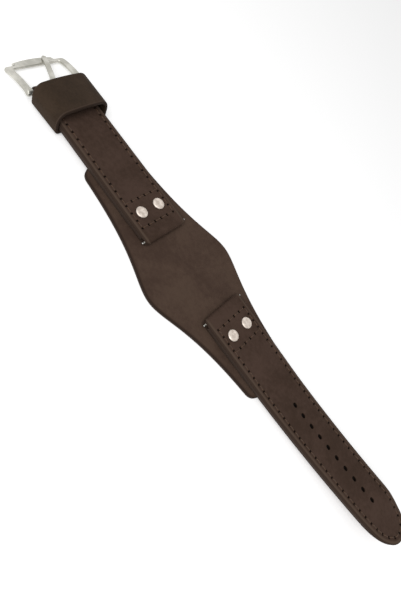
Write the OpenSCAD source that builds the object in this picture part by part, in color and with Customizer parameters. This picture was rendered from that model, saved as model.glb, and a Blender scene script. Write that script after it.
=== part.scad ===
// Leather watch strap of two pieces, riveted on a cuff pad, with a pin buckle and a sliding keeper.
// The origin is the middle of the pad's underside. +X runs along the strap to its pointed tail,
// +Y is across it and +Z is up, away from the wrist. All sizes are in millimetres.

/* [Cuff pad] */
// Length of the pad
pad_len = 108; // [100:1:120]
// Width of the pad at its middle
pad_mid_w = 46; // [40:0.2:52]
// Width of the pad at its ends
pad_end_w = 25.6; // [24:0.2:32]
// Length over which the flanks fall from the middle width
pad_flank = 20.6; // [16:0.2:32]
// Roundness of the crest in the middle of each side
pad_crest = 8; // [3:0.1:12]
// Radius of the pad's end corners
pad_corner = 4.5; // [2:0.1:7]
// Thickness of the pad's top leather
pad_top_t = 1.2; // [1:0.1:1.6]
// Thickness of the pad's lining
pad_lining_t = 1; // [0.9:0.1:1.4]

/* [Straps] */
// Width of both straps at the watch
lug_w = 22; // [20:0.5:24]
// Width of the short strap at the buckle
buckle_w = 20.4; // [18:0.1:21]
// Width of the long strap where its tip begins
tail_w = 20.6; // [18.5:0.1:21.5]
// Gap between the two strap ends at the watch
strap_gap = 35; // [30:0.5:38]
// Length of the long strap
tail_len = 115.4; // [112:0.2:126]
// Length of the short strap up to the buckle's bar
buckle_len = 69.4; // [66:0.1:80]
// Length of the rounded tip of the long strap
tip_len = 19; // [12:0.5:21]
// Thickness of the straps' top leather
top_t = 1.1; // [0.9:0.05:1.2]
// Thickness of the straps' lining leather
lining_t = 0.9; // [0.8:0.05:1]
// Thickness of the padding strip in the long strap's thin part
tail_filler_t = 0.7; // [0.4:0.05:0.8]
// How high the tail's tip curls up
tail_curl = 6; // [0:0.5:8]
// Leather round the spring bars at the watch, skived thin
lug_wall = 0.74; // [0.6:0.02:0.85]
// Leather round the buckle's bar, skived thin
buckle_wall = 0.64; // [0.6:0.02:0.72]
// Radius of the strap ends' corners
lug_corner = 0.8; // [0.3:0.1:1.5]

/* [Adjustment holes] */
// Number of holes
hole_count = 10; // [6:1:11]
// Distance between the holes
hole_pitch = 5.3; // [4.5:0.05:5.5]
// First hole, from the strap's end at the watch
hole_first = 48.8; // [42:0.2:50]
// Width of a hole
hole_w = 1.6; // [1.2:0.1:1.9]
// Length of a hole along the strap
hole_l = 2.2; // [2:0.1:2.8]

/* [Rivets] */
// Distance of the rivets from the strap's end
rivet_in = 11.5; // [9:0.1:13]
// Distance between the two rivets of a pair
rivet_pitch = 9.2; // [7:0.2:12]
// Diameter of a rivet's cap
cap_d = 4.8; // [3.6:0.1:5.4]
// Height of the cap over the leather
cap_h = 0.75; // [0.5:0.05:1]
// Diameter of a rivet's shank
shank_d = 2; // [1.6:0.1:2.4]
// Thickness of the cap pressed on the shank under the pad's top leather
back_t = 0.5; // [0.4:0.05:0.6]

/* [Spring bars] */
// Diameter of a spring bar's tube
bar_d = 1.5; // [1.4:0.05:1.6]
// Wall of the tube
bar_wall = 0.12; // [0.1:0.01:0.13]
// Diameter of a sprung tip
tip_d = 0.8; // [0.7:0.02:0.84]
// How far a tip stands out of the strap's edge into the watch's lug
tip_out = 1.1; // [0.9:0.05:1.3]
// How far a tip goes into the buckle's ear
ear_in = 1.2; // [1:0.05:1.4]
// Thickness of the flange behind a tip, which a tool pushes back
flange_t = 0.3; // [0.2:0.05:0.4]
// Diameter of the spring's wire
wire_d = 0.18; // [0.12:0.01:0.22]
// Number of turns drawn in a spring
spring_turns = 9; // [5:1:12]

/* [Keeper] */
// Width of the keeper along the strap
keeper_w = 13.8; // [9:0.2:14.6]
// Thickness of the keeper's leather
keeper_t = 1.3; // [1:0.1:1.5]
// Room left over for the tail in the keeper
keeper_play = 0.2; // [0.2:0.05:0.8]
// Room between the keeper and the strap's edge at the pad's end, where it is least
keeper_side = 0.45; // [0.15:0.05:0.9]
// Radius of the keeper's upper corners, outside
keeper_round = 4.2; // [2.5:0.1:4.5]
// How much the keeper's top is crowned
keeper_crown = 0.7; // [0:0.1:1]
// How far the keeper sits askew, in degrees
keeper_skew = 2; // [0:0.5:4]
// How far the keeper's top leans towards the buckle, in degrees
keeper_lean = 10; // [0:1:12]

/* [Buckle] */
// Distance from the buckle's hinge bar to the middle of its outer bar
reach = 13.3; // [12.5:0.1:16]
// Width of an arm of the frame
arm_w = 2.8; // [2:0.1:3.2]
// Thickness of the frame
frame_t = 1.5; // [1.2:0.05:1.8]
// Depth of the outer bar
outer_bar_w = 2.9; // [2.5:0.1:4]
// How far the outer bar stands out past the frame's corners
outer_step = 1.3; // [0.2:0.1:1.6]
// How far in from the arms' inner faces the outer bar stands out
outer_inset = 1.9; // [0.3:0.1:3]
// How far the outer bar bows outwards
outer_bow = 0.8; // [0:0.1:1.2]
// How high the arms arch between the two bars
arm_arch = 0.7; // [0:0.05:1]
// Radius of the frame's outer corners
frame_corner = 1.7; // [1:0.1:2.4]
// Radius of the ears that hold the hinge bar
ear_r = 1.4; // [1.25:0.05:1.7]
// Width of the prong near the strap
prong_w = 2.1; // [1.6:0.1:2.6]
// Width of the prong at its tip
prong_tip_w = 1.8; // [1:0.1:2]
// Thickness of the prong
prong_t = 1.1; // [0.9:0.05:1.3]
// How far the prong reaches past the middle of the outer bar
prong_past = 2.3; // [1:0.1:2.6]
// How high the prong arches over the line between its two ends
prong_arch = 0.7; // [0.2:0.05:1.2]
// How far the prong lies askew on its bar, in degrees
prong_skew = 22; // [0:1:24]
// How far the prong has slid along its bar to the near side
prong_shift = 0.9; // [0:0.1:0.9]

/* [Hidden] */
// Running clearance of round fits, and small gaps between pieces that move
run_gap = 0.05;
fold_gap = 0.06;
side_gap = 0.3;
rest_gap = 0.05;
keeper_gap = 0.15;
press_gap = 0.02;
overlap = 1;

// Levels: the straps lie on the pad, and each strap's thickness comes from the bar in its fold
strap_z = pad_top_t + pad_lining_t;
bar_r = bar_d / 2;
fold_bore = bar_r + fold_gap;
lug_fold = fold_bore + lug_wall;
buckle_fold = fold_bore + buckle_wall;
lug_t = 2 * lug_fold;
buckle_t = 2 * buckle_fold;
tail_t = top_t + tail_filler_t + lining_t;
lug_bar_z = strap_z + lug_fold;
buckle_bar_z = strap_z + buckle_fold;

// Places along the strap, measured from the middle of the pad
lug_x = strap_gap / 2;
lug_bar_x = lug_x + lug_fold;
rivet_x = lug_x + rivet_in;
flat_end = rivet_x + 5;
thin_start = flat_end + 26;
tail_end = lug_x + tail_len;
tip_start = tail_end - tip_len;
filler_end = tip_start + tip_len * 0.6;
filler_fade = filler_end - 6;
curl_start = pad_len / 2;
buckle_x = lug_x + buckle_len;
web = 0.3;
lug_tongue = 5;
buckle_tongue = 7;
slot_w = prong_w + 2.8;
slot_back = 6.5;
slot_deep = 3.4;

// Rivets and the pockets of their back caps
shank_r = shank_d / 2;
cap_r = cap_d / 2;
back_r = cap_r + 0.1;
pocket_gap = 0.1;
shank_clear = 0.05;

// Spring bars
bar_bore = bar_r - bar_wall;
tip_r = tip_d / 2;
bar_gap = 0.02;
lip = 0.35;
lip_bore = bar_bore - 0.05;
collar = 0.8;
collar_r = bar_bore - bar_gap;
neck_r = lip_bore - bar_gap;
flange_slack = 0.1;
ear_inner = buckle_w / 2 + side_gap;
ear_face = ear_inner - run_gap;
lug_face = lug_w / 2;
lug_tube_half = lug_face - flange_t - tip_out - flange_slack;
buckle_tube_half = ear_face - flange_t - ear_in - flange_slack;
ear_bore_end = ear_inner + ear_in + 0.2;

// Keeper
keeper_strap_hw = max(short_hw(pad_len / 2), short_hw(buckle_x));
keeper_in_hw = (keeper_strap_hw + keeper_side + keeper_w / 2 * sin(keeper_skew)) / cos(keeper_skew);
keeper_low = strap_z - keeper_gap;
keeper_high = strap_z + buckle_t + tail_t + keeper_play;
keeper_foot = 2;
keeper_foot_in = 0.3;
keeper_front = buckle_x - (ear_r + 0.2) / cos(keeper_lean);
keeper_x = keeper_front - (keeper_w / 2) * cos(keeper_skew) - (keeper_in_hw + keeper_t) * sin(keeper_skew);

// Buckle: the frame lies with its outer bar just over the table
frame_hw = ear_inner + arm_w;
frame_end = reach + outer_bar_w / 2 - outer_step;
window_end = reach - outer_bar_w / 2;
frame_tilt = asin((buckle_bar_z - frame_t / 2 - rest_gap) / reach);
knuckle_r = buckle_fold;
knuckle_w = prong_w + 0.9;
prong_end = reach + prong_past;
prong_lift = frame_t / 2 + rest_gap + prong_t / 2;
prong_root = knuckle_r - prong_t / 2;

// Smoothness of curves
steps = 24;
fine = 64;

leather = [0.27, 0.21, 0.18];
keeper_leather = [0.23, 0.17, 0.15];
lining_leather = [0.36, 0.26, 0.2];
padding = [0.55, 0.45, 0.36];
steel = [0.74, 0.73, 0.69];
rivet_metal = [0.85, 0.83, 0.78];

// Points along an arc of a circle, from one angle to another
function arc(cx, cy, r, from, to, n = steps) =
    [for (i = [0:n]) let(a = from + (to - from) * i / n) [cx + r * cos(a), cy + r * sin(a)]];

// A straight change between two values along x, level before and after
function ramp(x, x0, x1, v0, v1) = x <= x0 ? v0 : x >= x1 ? v1 : v0 + (v1 - v0) * (x - x0) / (x1 - x0);

// Half the short strap's width
function short_hw(x) = ramp(x, flat_end, buckle_x - buckle_fold, lug_w / 2, buckle_w / 2);

function back_to_front(list) = [for (i = [len(list) - 1:-1:0]) list[i]];

function other_side(list) = [for (p = back_to_front(list)) [p[0], -p[1]]];

// Extrudes a side view, drawn as [x, z], across the strap
module across(width) {
    rotate([90, 0, 0]) linear_extrude(width, center = true) children();
}

// A cylinder that lies across the strap
module cross_bar(r, y0, y1) {
    translate([0, y0, 0]) rotate([-90, 0, 0]) cylinder(r = r, h = y1 - y0, $fn = fine);
}

// The short strap and all that belongs to it is drawn along +X and mirrored to its side
module on_short_side() {
    mirror([1, 0, 0]) children();
}

// Cuff pad

function pad_fall(x) = exp(-(sqrt(x * x + pad_crest * pad_crest) - pad_crest) / pad_flank);
pad_swell = (pad_mid_w - pad_end_w) / 2 / (1 - pad_fall(pad_len / 2));
function pad_hw(x) = pad_mid_w / 2 - pad_swell * (1 - pad_fall(x));

module pad_plan() {
    corner_x = pad_len / 2 - pad_corner;
    flank = [for (i = [0:steps]) let(x = corner_x * i / steps) [x, pad_hw(x)]];
    corner = arc(corner_x, pad_hw(corner_x) - pad_corner, pad_corner, 84, 0, 8);
    quarter = concat(flank, corner);
    right = concat(quarter, other_side(quarter));
    left = [for (p = back_to_front(right)) [-p[0], p[1]]];
    polygon(concat(right, left));
}

module rivet_places() {
    for (side = [-1, 1], y = [-1, 1]) translate([side * rivet_x, y * rivet_pitch / 2, 0]) children();
}

module pad_top() {
    color(leather) difference() {
        translate([0, 0, pad_lining_t]) linear_extrude(pad_top_t) pad_plan();
        rivet_places() cylinder(r = shank_r + shank_clear, h = strap_z + overlap, $fn = fine);
    }
}

module pad_lining() {
    color(lining_leather) difference() {
        linear_extrude(pad_lining_t) pad_plan();
        rivet_places() translate([0, 0, pad_lining_t - back_t - pocket_gap])
            cylinder(r = back_r + pocket_gap, h = back_t + pocket_gap + overlap, $fn = fine);
    }
}

// Straps: side views

function curl(x) = x <= curl_start ? 0 : tail_curl * pow((x - curl_start) / (tail_end - curl_start), 2);
function tail_thick(x) = x < filler_fade ? ramp(x, flat_end, thin_start, lug_t, tail_t)
    : ramp(x, filler_fade, filler_end, tail_t, top_t + lining_t);
function short_thick(x) = ramp(x, flat_end, buckle_x, lug_t, buckle_t);

// Stations along each strap at which its side views have a point
tail_stations = concat([flat_end, thin_start],
    [for (i = [1:steps]) thin_start + (filler_fade - thin_start) * i / steps],
    [for (i = [1:3]) filler_fade + (filler_end - filler_fade) * i / 3],
    [for (i = [1:3]) filler_end + (tail_end - filler_end) * i / 3]);
short_stations = [flat_end, buckle_x];

function tail_line(level, stations) = [for (x = stations) [x, strap_z + curl(x) + level]];
function tail_surface(depth, stations) = [for (x = stations) [x, strap_z + curl(x) + tail_thick(x) - depth]];
function short_surface(depth, stations) = [for (x = stations) [x, strap_z + short_thick(x) - depth]];

// The top leather round the bar at the watch: up the front of the fold from its tongue
lug_wrap = concat([[lug_bar_x + lug_fold + lug_tongue, strap_z]], arc(lug_bar_x, lug_bar_z, lug_fold, 270, 90));
lug_web_x = lug_bar_x + lug_fold + web;
lug_inside = [[lug_web_x, strap_z + lug_t - top_t], [lug_web_x, strap_z + lining_t],
    [lug_bar_x + lug_fold + lug_tongue, strap_z + lining_t]];

module tail_top_side() {
    polygon(concat(lug_wrap, tail_surface(0, tail_stations),
        back_to_front(tail_surface(top_t, tail_stations)), lug_inside));
}

module tail_filler_side() {
    inner = [for (x = tail_stations) if (x <= filler_end) x];
    polygon(concat([[lug_web_x, strap_z + lug_t - top_t]], tail_surface(top_t, inner),
        back_to_front(tail_line(lining_t, inner)), [[curl_start, strap_z + lining_t]],
        [[lug_web_x, strap_z + lining_t]]));
}

module tail_lining_side() {
    start = lug_bar_x + lug_fold + lug_tongue;
    polygon(concat([[start, strap_z + lining_t]], tail_line(lining_t, tail_stations),
        back_to_front(tail_line(0, tail_stations)), [[start, strap_z]]));
}

buckle_web_x = buckle_x - buckle_fold - web;
buckle_tongue_x = buckle_x - buckle_fold - buckle_tongue;

module short_top_side() {
    polygon(concat(lug_wrap, [[flat_end, strap_z + lug_t]],
        arc(buckle_x, buckle_bar_z, buckle_fold, 90, -90),
        [[buckle_tongue_x, strap_z], [buckle_tongue_x, strap_z + lining_t],
         [buckle_web_x, strap_z + lining_t], [buckle_web_x, strap_z + short_thick(buckle_web_x) - top_t],
         [flat_end, strap_z + lug_t - top_t]], lug_inside));
}

module short_filler_side() {
    polygon([[lug_web_x, strap_z + lining_t], [lug_web_x, strap_z + lug_t - top_t],
        [flat_end, strap_z + lug_t - top_t], [buckle_web_x, strap_z + short_thick(buckle_web_x) - top_t],
        [buckle_web_x, strap_z + lining_t]]);
}

module short_lining_side() {
    start = lug_bar_x + lug_fold + lug_tongue;
    polygon([[start, strap_z], [start, strap_z + lining_t],
        [buckle_tongue_x, strap_z + lining_t], [buckle_tongue_x, strap_z]]);
}

// Straps: plans and the cuts through them

module tail_plan() {
    half = concat(arc(lug_x + lug_corner, lug_w / 2 - lug_corner, lug_corner, 180, 90, 6),
        [[flat_end, lug_w / 2]],
        [for (i = [0:steps]) let(a = 90 - (90 * i / steps))
            [tip_start + tip_len * cos(a), tail_w / 2 * sin(a)]]);
    polygon(concat(half, other_side(half)));
}

module short_plan() {
    end = buckle_x + buckle_fold;
    half = concat(arc(lug_x + lug_corner, lug_w / 2 - lug_corner, lug_corner, 180, 90, 6),
        [[flat_end, lug_w / 2], [buckle_x - buckle_fold, buckle_w / 2], [end, buckle_w / 2]]);
    polygon(concat(half, other_side(half)));
}

module slice(height = 20) {
    linear_extrude(height) children();
}

module strap_rivet_holes() {
    for (y = [-1, 1]) translate([rivet_x, y * rivet_pitch / 2, 0])
        cylinder(r = shank_r + shank_clear, h = strap_z + lug_t + overlap, $fn = fine);
}

module adjustment_holes() {
    shift = (hole_l - hole_w) / 2;
    for (i = [0:hole_count - 1]) translate([lug_x + hole_first + i * hole_pitch, 0, 0]) {
        for (end = [-1, 1]) translate([end * shift, 0, 0]) cylinder(d = hole_w, h = 20, $fn = 32);
        translate([-shift, -hole_w / 2, 0]) cube([2 * shift, hole_w, 20]);
    }
}

// The slot that the prong works in, cut through the fold and, further back, through the top leather
module prong_slot() {
    far = buckle_x + buckle_fold + overlap;
    translate([buckle_x - slot_deep, -slot_w / 2, 0]) cube([far - buckle_x + slot_deep, slot_w, 20]);
    translate([buckle_x - slot_back, -slot_w / 2, strap_z + buckle_t - top_t]) cube([slot_back, slot_w, 20]);
}

module lug_tunnel() {
    translate([lug_bar_x, 0, lug_bar_z]) cross_bar(fold_bore, -lug_w, lug_w);
}

module tail_strap_top() {
    color(leather) difference() {
        intersection() {
            across(lug_w + overlap) tail_top_side();
            slice() tail_plan();
        }
        lug_tunnel();
        strap_rivet_holes();
        adjustment_holes();
    }
}

module tail_strap_filler() {
    color(padding) difference() {
        intersection() {
            across(lug_w + overlap) tail_filler_side();
            slice() tail_plan();
        }
        strap_rivet_holes();
        adjustment_holes();
    }
}

module tail_strap_lining() {
    color(lining_leather) difference() {
        intersection() {
            across(lug_w + overlap) tail_lining_side();
            slice() tail_plan();
        }
        strap_rivet_holes();
        adjustment_holes();
    }
}

module buckle_strap_top() {
    color(leather) on_short_side() difference() {
        intersection() {
            across(lug_w + overlap) short_top_side();
            slice() short_plan();
        }
        lug_tunnel();
        translate([buckle_x, 0, buckle_bar_z]) cross_bar(fold_bore, -lug_w, lug_w);
        strap_rivet_holes();
        prong_slot();
    }
}

module buckle_strap_filler() {
    color(padding) on_short_side() difference() {
        intersection() {
            across(lug_w + overlap) short_filler_side();
            slice() short_plan();
        }
        strap_rivet_holes();
        prong_slot();
    }
}

module buckle_strap_lining() {
    color(lining_leather) on_short_side() difference() {
        intersection() {
            across(lug_w + overlap) short_lining_side();
            slice() short_plan();
        }
        strap_rivet_holes();
    }
}

// Rivets: a dimpled cap and its shank in one piece, and a back cap pressed on under the pad's leather

module rivet() {
    seat = strap_z + lug_t;
    foot = pad_lining_t - back_t;
    dimple_r = cap_r * 0.55;
    dimple = cap_h * 0.25;
    rim = cap_h * 0.35;
    rotate_extrude($fn = fine) polygon(concat(
        [[0, foot], [shank_r, foot], [shank_r, seat], [cap_r, seat], [cap_r, seat + rim]],
        [for (i = [1:8]) let(a = 90 * i / 8)
            [dimple_r + (cap_r - dimple_r) * cos(a), seat + rim + (cap_h - rim) * sin(a)]],
        [for (i = [1:6]) let(a = 90 * i / 6) [dimple_r * cos(a), seat + cap_h - dimple * sin(a)]]));
}

module rivet_back() {
    translate([0, 0, pad_lining_t - back_t]) difference() {
        cylinder(r = back_r, h = back_t, $fn = fine);
        translate([0, 0, -overlap]) cylinder(r = shank_r + press_gap, h = back_t + 2 * overlap, $fn = fine);
    }
}

module rivet_pair() {
    for (y = [-1, 1]) translate([rivet_x, y * rivet_pitch / 2, 0]) children();
}

module tail_strap_rivets() {
    color(rivet_metal) rivet_pair() rivet();
}

module tail_strap_rivet_backs() {
    color(steel) rivet_pair() rivet_back();
}

module buckle_strap_rivets() {
    color(rivet_metal) on_short_side() rivet_pair() rivet();
}

module buckle_strap_rivet_backs() {
    color(steel) on_short_side() rivet_pair() rivet_back();
}

// Spring bars

module bar_tube(half) {
    color(steel) difference() {
        cross_bar(bar_r, -half, half);
        cross_bar(bar_bore, -half + lip, half - lip);
        cross_bar(lip_bore, -half - overlap, half + overlap);
    }
}

// The far tip, on the +Y side: a collar trapped behind the tube's lip, a flange and the pin beyond it
module bar_tip(half, face, end) {
    inner = half - lip - press_gap - collar;
    nose = 0.12;
    color(steel) rotate([-90, 0, 0]) rotate_extrude($fn = fine) polygon([[0, inner], [collar_r, inner],
        [collar_r, inner + collar], [neck_r, inner + collar], [neck_r, face - flange_t], [bar_r, face - flange_t],
        [bar_r, face], [tip_r, face], [tip_r, end - nose], [tip_r - nose, end], [0, end]]);
}

module lug_tip() {
    bar_tip(lug_tube_half, lug_face, lug_face + tip_out);
}

module buckle_tip() {
    bar_tip(buckle_tube_half, ear_face, ear_inner + ear_in);
}

module near_side() {
    mirror([0, 1, 0]) children();
}

// A coil spring between the two collars, as one tube with square ends
module bar_spring(half) {
    long = 2 * (half - lip - press_gap - collar - run_gap) - wire_d;
    coil_r = bar_bore - run_gap - wire_d / 2;
    sides = 5;
    per_turn = 10;
    rings = spring_turns * per_turn;
    pts = [for (i = [0:rings], k = [0:sides - 1])
        let(a = 360 * i / per_turn, b = 360 * k / sides, r = coil_r + wire_d / 2 * cos(b))
        [r * cos(a), -long / 2 + long * i / rings + wire_d / 2 * sin(b), r * sin(a)]];
    body = [for (i = [0:rings - 1], k = [0:sides - 1])
        let(p = i * sides + k, q = i * sides + (k + 1) % sides) each [[p, q, q + sides], [p, q + sides, p + sides]]];
    first = [for (k = [1:sides - 2]) [0, k + 1, k]];
    last = [for (k = [1:sides - 2]) [rings * sides, rings * sides + k, rings * sides + k + 1]];
    color(steel) polyhedron(points = pts, faces = concat(body, first, last));
}

module at_buckle_bar() {
    translate([-buckle_x, 0, buckle_bar_z]) children();
}

module at_short_lug_bar() {
    translate([-lug_bar_x, 0, lug_bar_z]) children();
}

module at_long_lug_bar() {
    translate([lug_bar_x, 0, lug_bar_z]) children();
}

// Keeper: a closed band of leather, seen along the strap as [y, z]

module keeper_section(hw, low, high, r_low, r_high) {
    flat = hw - r_high;
    top = concat(arc(flat, high - r_high, r_high, 0, 90, 12), [for (i = [1:8]) [flat * (1 - i / 8), high]]);
    half = concat(arc(hw - r_low, low + r_low, r_low, -90, 0, 8),
        [for (p = top) [p[0], p[1] + keeper_crown * (1 - pow(p[0] / hw, 2))]]);
    polygon(concat(half, [for (p = back_to_front(half)) if (p[0] > 0) [-p[0], p[1]]]));
}

// The band's side view, which leans towards the buckle
module keeper_side_view() {
    function lean(z) = (z - buckle_bar_z) * tan(keeper_lean);
    low = keeper_low - keeper_t - overlap;
    high = keeper_high + keeper_t + keeper_crown + overlap;
    polygon([[lean(low) - keeper_w / 2, low], [lean(low) + keeper_w / 2, low],
        [lean(high) + keeper_w / 2, high], [lean(high) - keeper_w / 2, high]]);
}

module keeper_loop() {
    color(keeper_leather) on_short_side() translate([keeper_x, 0, 0]) rotate([0, 0, -keeper_skew])
        intersection() {
            rotate([90, 0, 90]) linear_extrude(2 * keeper_w, center = true) difference() {
                keeper_section(keeper_in_hw + keeper_t, keeper_low - keeper_t, keeper_high + keeper_t,
                    keeper_foot, keeper_round);
                keeper_section(keeper_in_hw, keeper_low, keeper_high,
                    keeper_foot_in, keeper_round - keeper_t);
            }
            across(3 * keeper_in_hw) keeper_side_view();
        }
}

// Buckle: drawn along +X from the hinge bar at the origin, then tilted down and mirrored to its place

module at_buckle() {
    on_short_side() translate([buckle_x, 0, buckle_bar_z]) rotate([0, frame_tilt, 0]) children();
}

function arm_line(u) = arm_arch * 4 * (u / reach) * (1 - u / reach);

module frame_side() {
    us = [for (i = [0:12]) reach * i / 12];
    upper = [for (u = us) [u, arm_line(u) + frame_t / 2]];
    lower = [for (u = back_to_front(us)) [u, arm_line(u) - frame_t / 2]];
    nose = arc(frame_end + outer_step + outer_bow - frame_t / 2, 0, frame_t / 2, 90, -90, 12);
    polygon(concat(upper, nose, lower));
}

module frame_plan() {
    shoulder = frame_hw - frame_corner;
    bar_hw = ear_inner - outer_inset;
    bow = [for (i = [0:12]) let(y = bar_hw * (1 - i / 12))
        [frame_end + outer_step + outer_bow * (1 - pow(y / bar_hw, 2)), y]];
    corner = concat(arc(frame_end - frame_corner, shoulder, frame_corner, 90, 0, 8),
        [[frame_end, bar_hw + outer_step / 2]]);
    window = arc(window_end - 1, ear_inner - 1, 1, 90, 0, 6);
    outer = concat([[-ear_r - overlap, frame_hw]], corner, bow);
    inner = concat([[-ear_r - overlap, ear_inner]], window);
    polygon(concat(outer, other_side(outer), back_to_front(other_side(inner)), back_to_front(inner)));
}

module buckle_frame() {
    color(steel) at_buckle() difference() {
        union() {
            intersection() {
                across(2 * frame_hw + overlap) frame_side();
                translate([0, 0, -10]) slice() frame_plan();
            }
            cross_bar(ear_r, ear_inner, frame_hw);
            cross_bar(ear_r, -frame_hw, -ear_inner);
        }
        cross_bar(tip_r + run_gap, -ear_bore_end, ear_bore_end);
    }
}

function prong_line(u) = prong_root + (prong_lift - prong_root) * min(u / reach, 1)
    + prong_arch * 4 * (u / prong_end) * (1 - u / prong_end);

module prong_side() {
    us = [for (i = [0:steps]) prong_end * i / steps];
    upper = [for (u = us) [u, prong_line(u) + prong_t / 2]];
    lower = [for (u = back_to_front(us)) [u, prong_line(u) - prong_t / 2]];
    polygon(concat(upper, lower));
}

module prong_plan() {
    half = concat([[-knuckle_r - overlap, knuckle_w / 2], [knuckle_r, knuckle_w / 2], [knuckle_r + 0.6, prong_w / 2]],
        arc(prong_end - prong_tip_w / 2, 0, prong_tip_w / 2, 80, 0, 8));
    polygon(concat(half, other_side(half)));
}

module buckle_prong() {
    color(steel) at_buckle() translate([0, -prong_shift, 0]) difference() {
        union() {
            rotate([0, 0, prong_skew]) intersection() {
                across(knuckle_w + overlap) prong_side();
                translate([0, 0, -10]) slice() prong_plan();
            }
            cross_bar(knuckle_r, -knuckle_w / 2, knuckle_w / 2);
        }
        cross_bar(fold_bore, -knuckle_w, knuckle_w);
    }
}

pad_top();
pad_lining();
buckle_strap_top();
buckle_strap_filler();
buckle_strap_lining();
tail_strap_top();
tail_strap_filler();
tail_strap_lining();
buckle_strap_rivets();
buckle_strap_rivet_backs();
tail_strap_rivets();
tail_strap_rivet_backs();
keeper_loop();
buckle_frame();
buckle_prong();
at_buckle_bar() bar_tube(buckle_tube_half);  // buckle_bar_tube
at_buckle_bar() bar_spring(buckle_tube_half);  // buckle_bar_spring
at_buckle_bar() near_side() buckle_tip();  // buckle_bar_tip_near
at_buckle_bar() buckle_tip();  // buckle_bar_tip_far
at_short_lug_bar() bar_tube(lug_tube_half);  // short_lug_bar_tube
at_short_lug_bar() bar_spring(lug_tube_half);  // short_lug_bar_spring
at_short_lug_bar() near_side() lug_tip();  // short_lug_bar_tip_near
at_short_lug_bar() lug_tip();  // short_lug_bar_tip_far
at_long_lug_bar() bar_tube(lug_tube_half);  // long_lug_bar_tube
at_long_lug_bar() bar_spring(lug_tube_half);  // long_lug_bar_spring
at_long_lug_bar() near_side() lug_tip();  // long_lug_bar_tip_near
at_long_lug_bar() lug_tip();  // long_lug_bar_tip_far
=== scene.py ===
import bisect
import bmesh
import bpy
import math
from mathutils import Matrix, Vector


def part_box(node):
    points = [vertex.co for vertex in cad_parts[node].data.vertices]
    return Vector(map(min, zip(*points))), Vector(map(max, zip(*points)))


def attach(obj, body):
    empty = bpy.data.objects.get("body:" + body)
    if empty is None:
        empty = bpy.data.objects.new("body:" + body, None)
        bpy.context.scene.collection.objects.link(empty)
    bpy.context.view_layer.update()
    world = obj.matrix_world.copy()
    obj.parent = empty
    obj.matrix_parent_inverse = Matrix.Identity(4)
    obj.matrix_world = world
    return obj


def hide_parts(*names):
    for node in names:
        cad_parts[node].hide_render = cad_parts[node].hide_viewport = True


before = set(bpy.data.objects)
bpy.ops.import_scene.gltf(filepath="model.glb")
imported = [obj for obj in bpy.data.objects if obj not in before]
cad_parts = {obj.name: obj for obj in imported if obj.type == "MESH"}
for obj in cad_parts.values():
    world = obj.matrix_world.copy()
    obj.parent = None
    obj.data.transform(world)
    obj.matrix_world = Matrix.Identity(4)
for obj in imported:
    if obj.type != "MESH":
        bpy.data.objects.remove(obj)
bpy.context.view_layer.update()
mm = 0.001  # pieces are shaped in millimetres and scaled once, when they are finished


def boxMm(node):
    low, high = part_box(node)
    return low / mm, high / mm


def middleMm(node):
    low, high = boxMm(node)
    return (low + high) / 2


# Places that the frame gives
padHigh = boxMm("pad_top")[1]
lugBar = middleMm("long_lug_bar_tube")
buckleBar = middleMm("buckle_bar_tube")
tailLow, tailHigh = boxMm("tail_strap_top")
strapZ = padHigh.z  # underside of the straps
lugX = tailLow.x  # their ends at the watch
lugHalf = tailHigh.y
lugFold = lugBar.z - strapZ  # outer radius of the leather's turn round a lug bar
buckleX = -buckleBar.x  # the short strap is drawn along +X, as the long one is
buckleFold = buckleBar.z - strapZ
tailEnd = tailHigh.x


# Camera, at the photograph's viewing angle
photoView = {
    "place": (3.22, -104.91, 130.52),  # mm
    "turn": (23.177, -31.086, 45.959),  # degrees
    "lens": 25.31,
    "sensor": 36,
}


def makeCamera(view):
    data = bpy.data.cameras.new("photoCamera")
    data.sensor_fit = "VERTICAL"
    data.sensor_height = view["sensor"]
    data.lens = view["lens"]
    data.clip_start = 5 * mm
    camera = bpy.data.objects.new("photoCamera", data)
    camera.location = Vector(view["place"]) * mm
    camera.rotation_euler = [math.radians(a) for a in view["turn"]]
    bpy.context.scene.collection.objects.link(camera)
    bpy.context.scene.camera = camera


makeCamera(photoView)
print("camera placed")


# Materials

class Wire:  # one output socket; arithmetic on it adds Math nodes
    def __init__(self, nodes, socket):
        self.nodes = nodes
        self.socket = socket

    def maths(self, operation, *values):
        return self.nodes.node("ShaderNodeMath", {"operation": operation}, dict(enumerate(values)))

    def __add__(self, other):
        return self.maths("ADD", self, other)

    def __radd__(self, other):
        return self.maths("ADD", other, self)

    def __sub__(self, other):
        return self.maths("SUBTRACT", self, other)

    def __rsub__(self, other):
        return self.maths("SUBTRACT", other, self)

    def __mul__(self, other):
        return self.maths("MULTIPLY", self, other)

    def __abs__(self):
        return self.maths("ABSOLUTE", self)

    def __mod__(self, other):
        return self.maths("FLOORED_MODULO", self, other)


class Nodes:  # the nodes of a world or a material
    def __init__(self, owner, shader):
        owner.use_nodes = True
        self.tree = owner.node_tree
        self.shader = self.tree.nodes[shader]

    def node(self, kind, settings=None, inputs=None, output=0):
        made = self.tree.nodes.new(kind)
        for key, value in (settings or {}).items():
            setattr(made, key, value)
        self.feed(made, inputs or {})
        return Wire(self, made.outputs[output])

    def feed(self, node, inputs):
        for key, value in inputs.items():
            if isinstance(value, Wire):
                self.tree.links.new(value.socket, node.inputs[key])
            else:
                node.inputs[key].default_value = value

    def blend(self, share, first, second):  # by the Mix node's colour sockets
        colours = {0: share, 6: first, 7: second}
        return self.node("ShaderNodeMix", {"data_type": "RGBA"}, colours, output=2)

    def pictured(self):  # 1 where the camera sees it, in a polished surface or through a clear one too
        camera, glossy, through = [self.node("ShaderNodeLightPath", output=k) for k in (0, 3, 6)]
        return camera.maths("MAXIMUM", camera, camera.maths("MAXIMUM", glossy, through))


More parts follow.
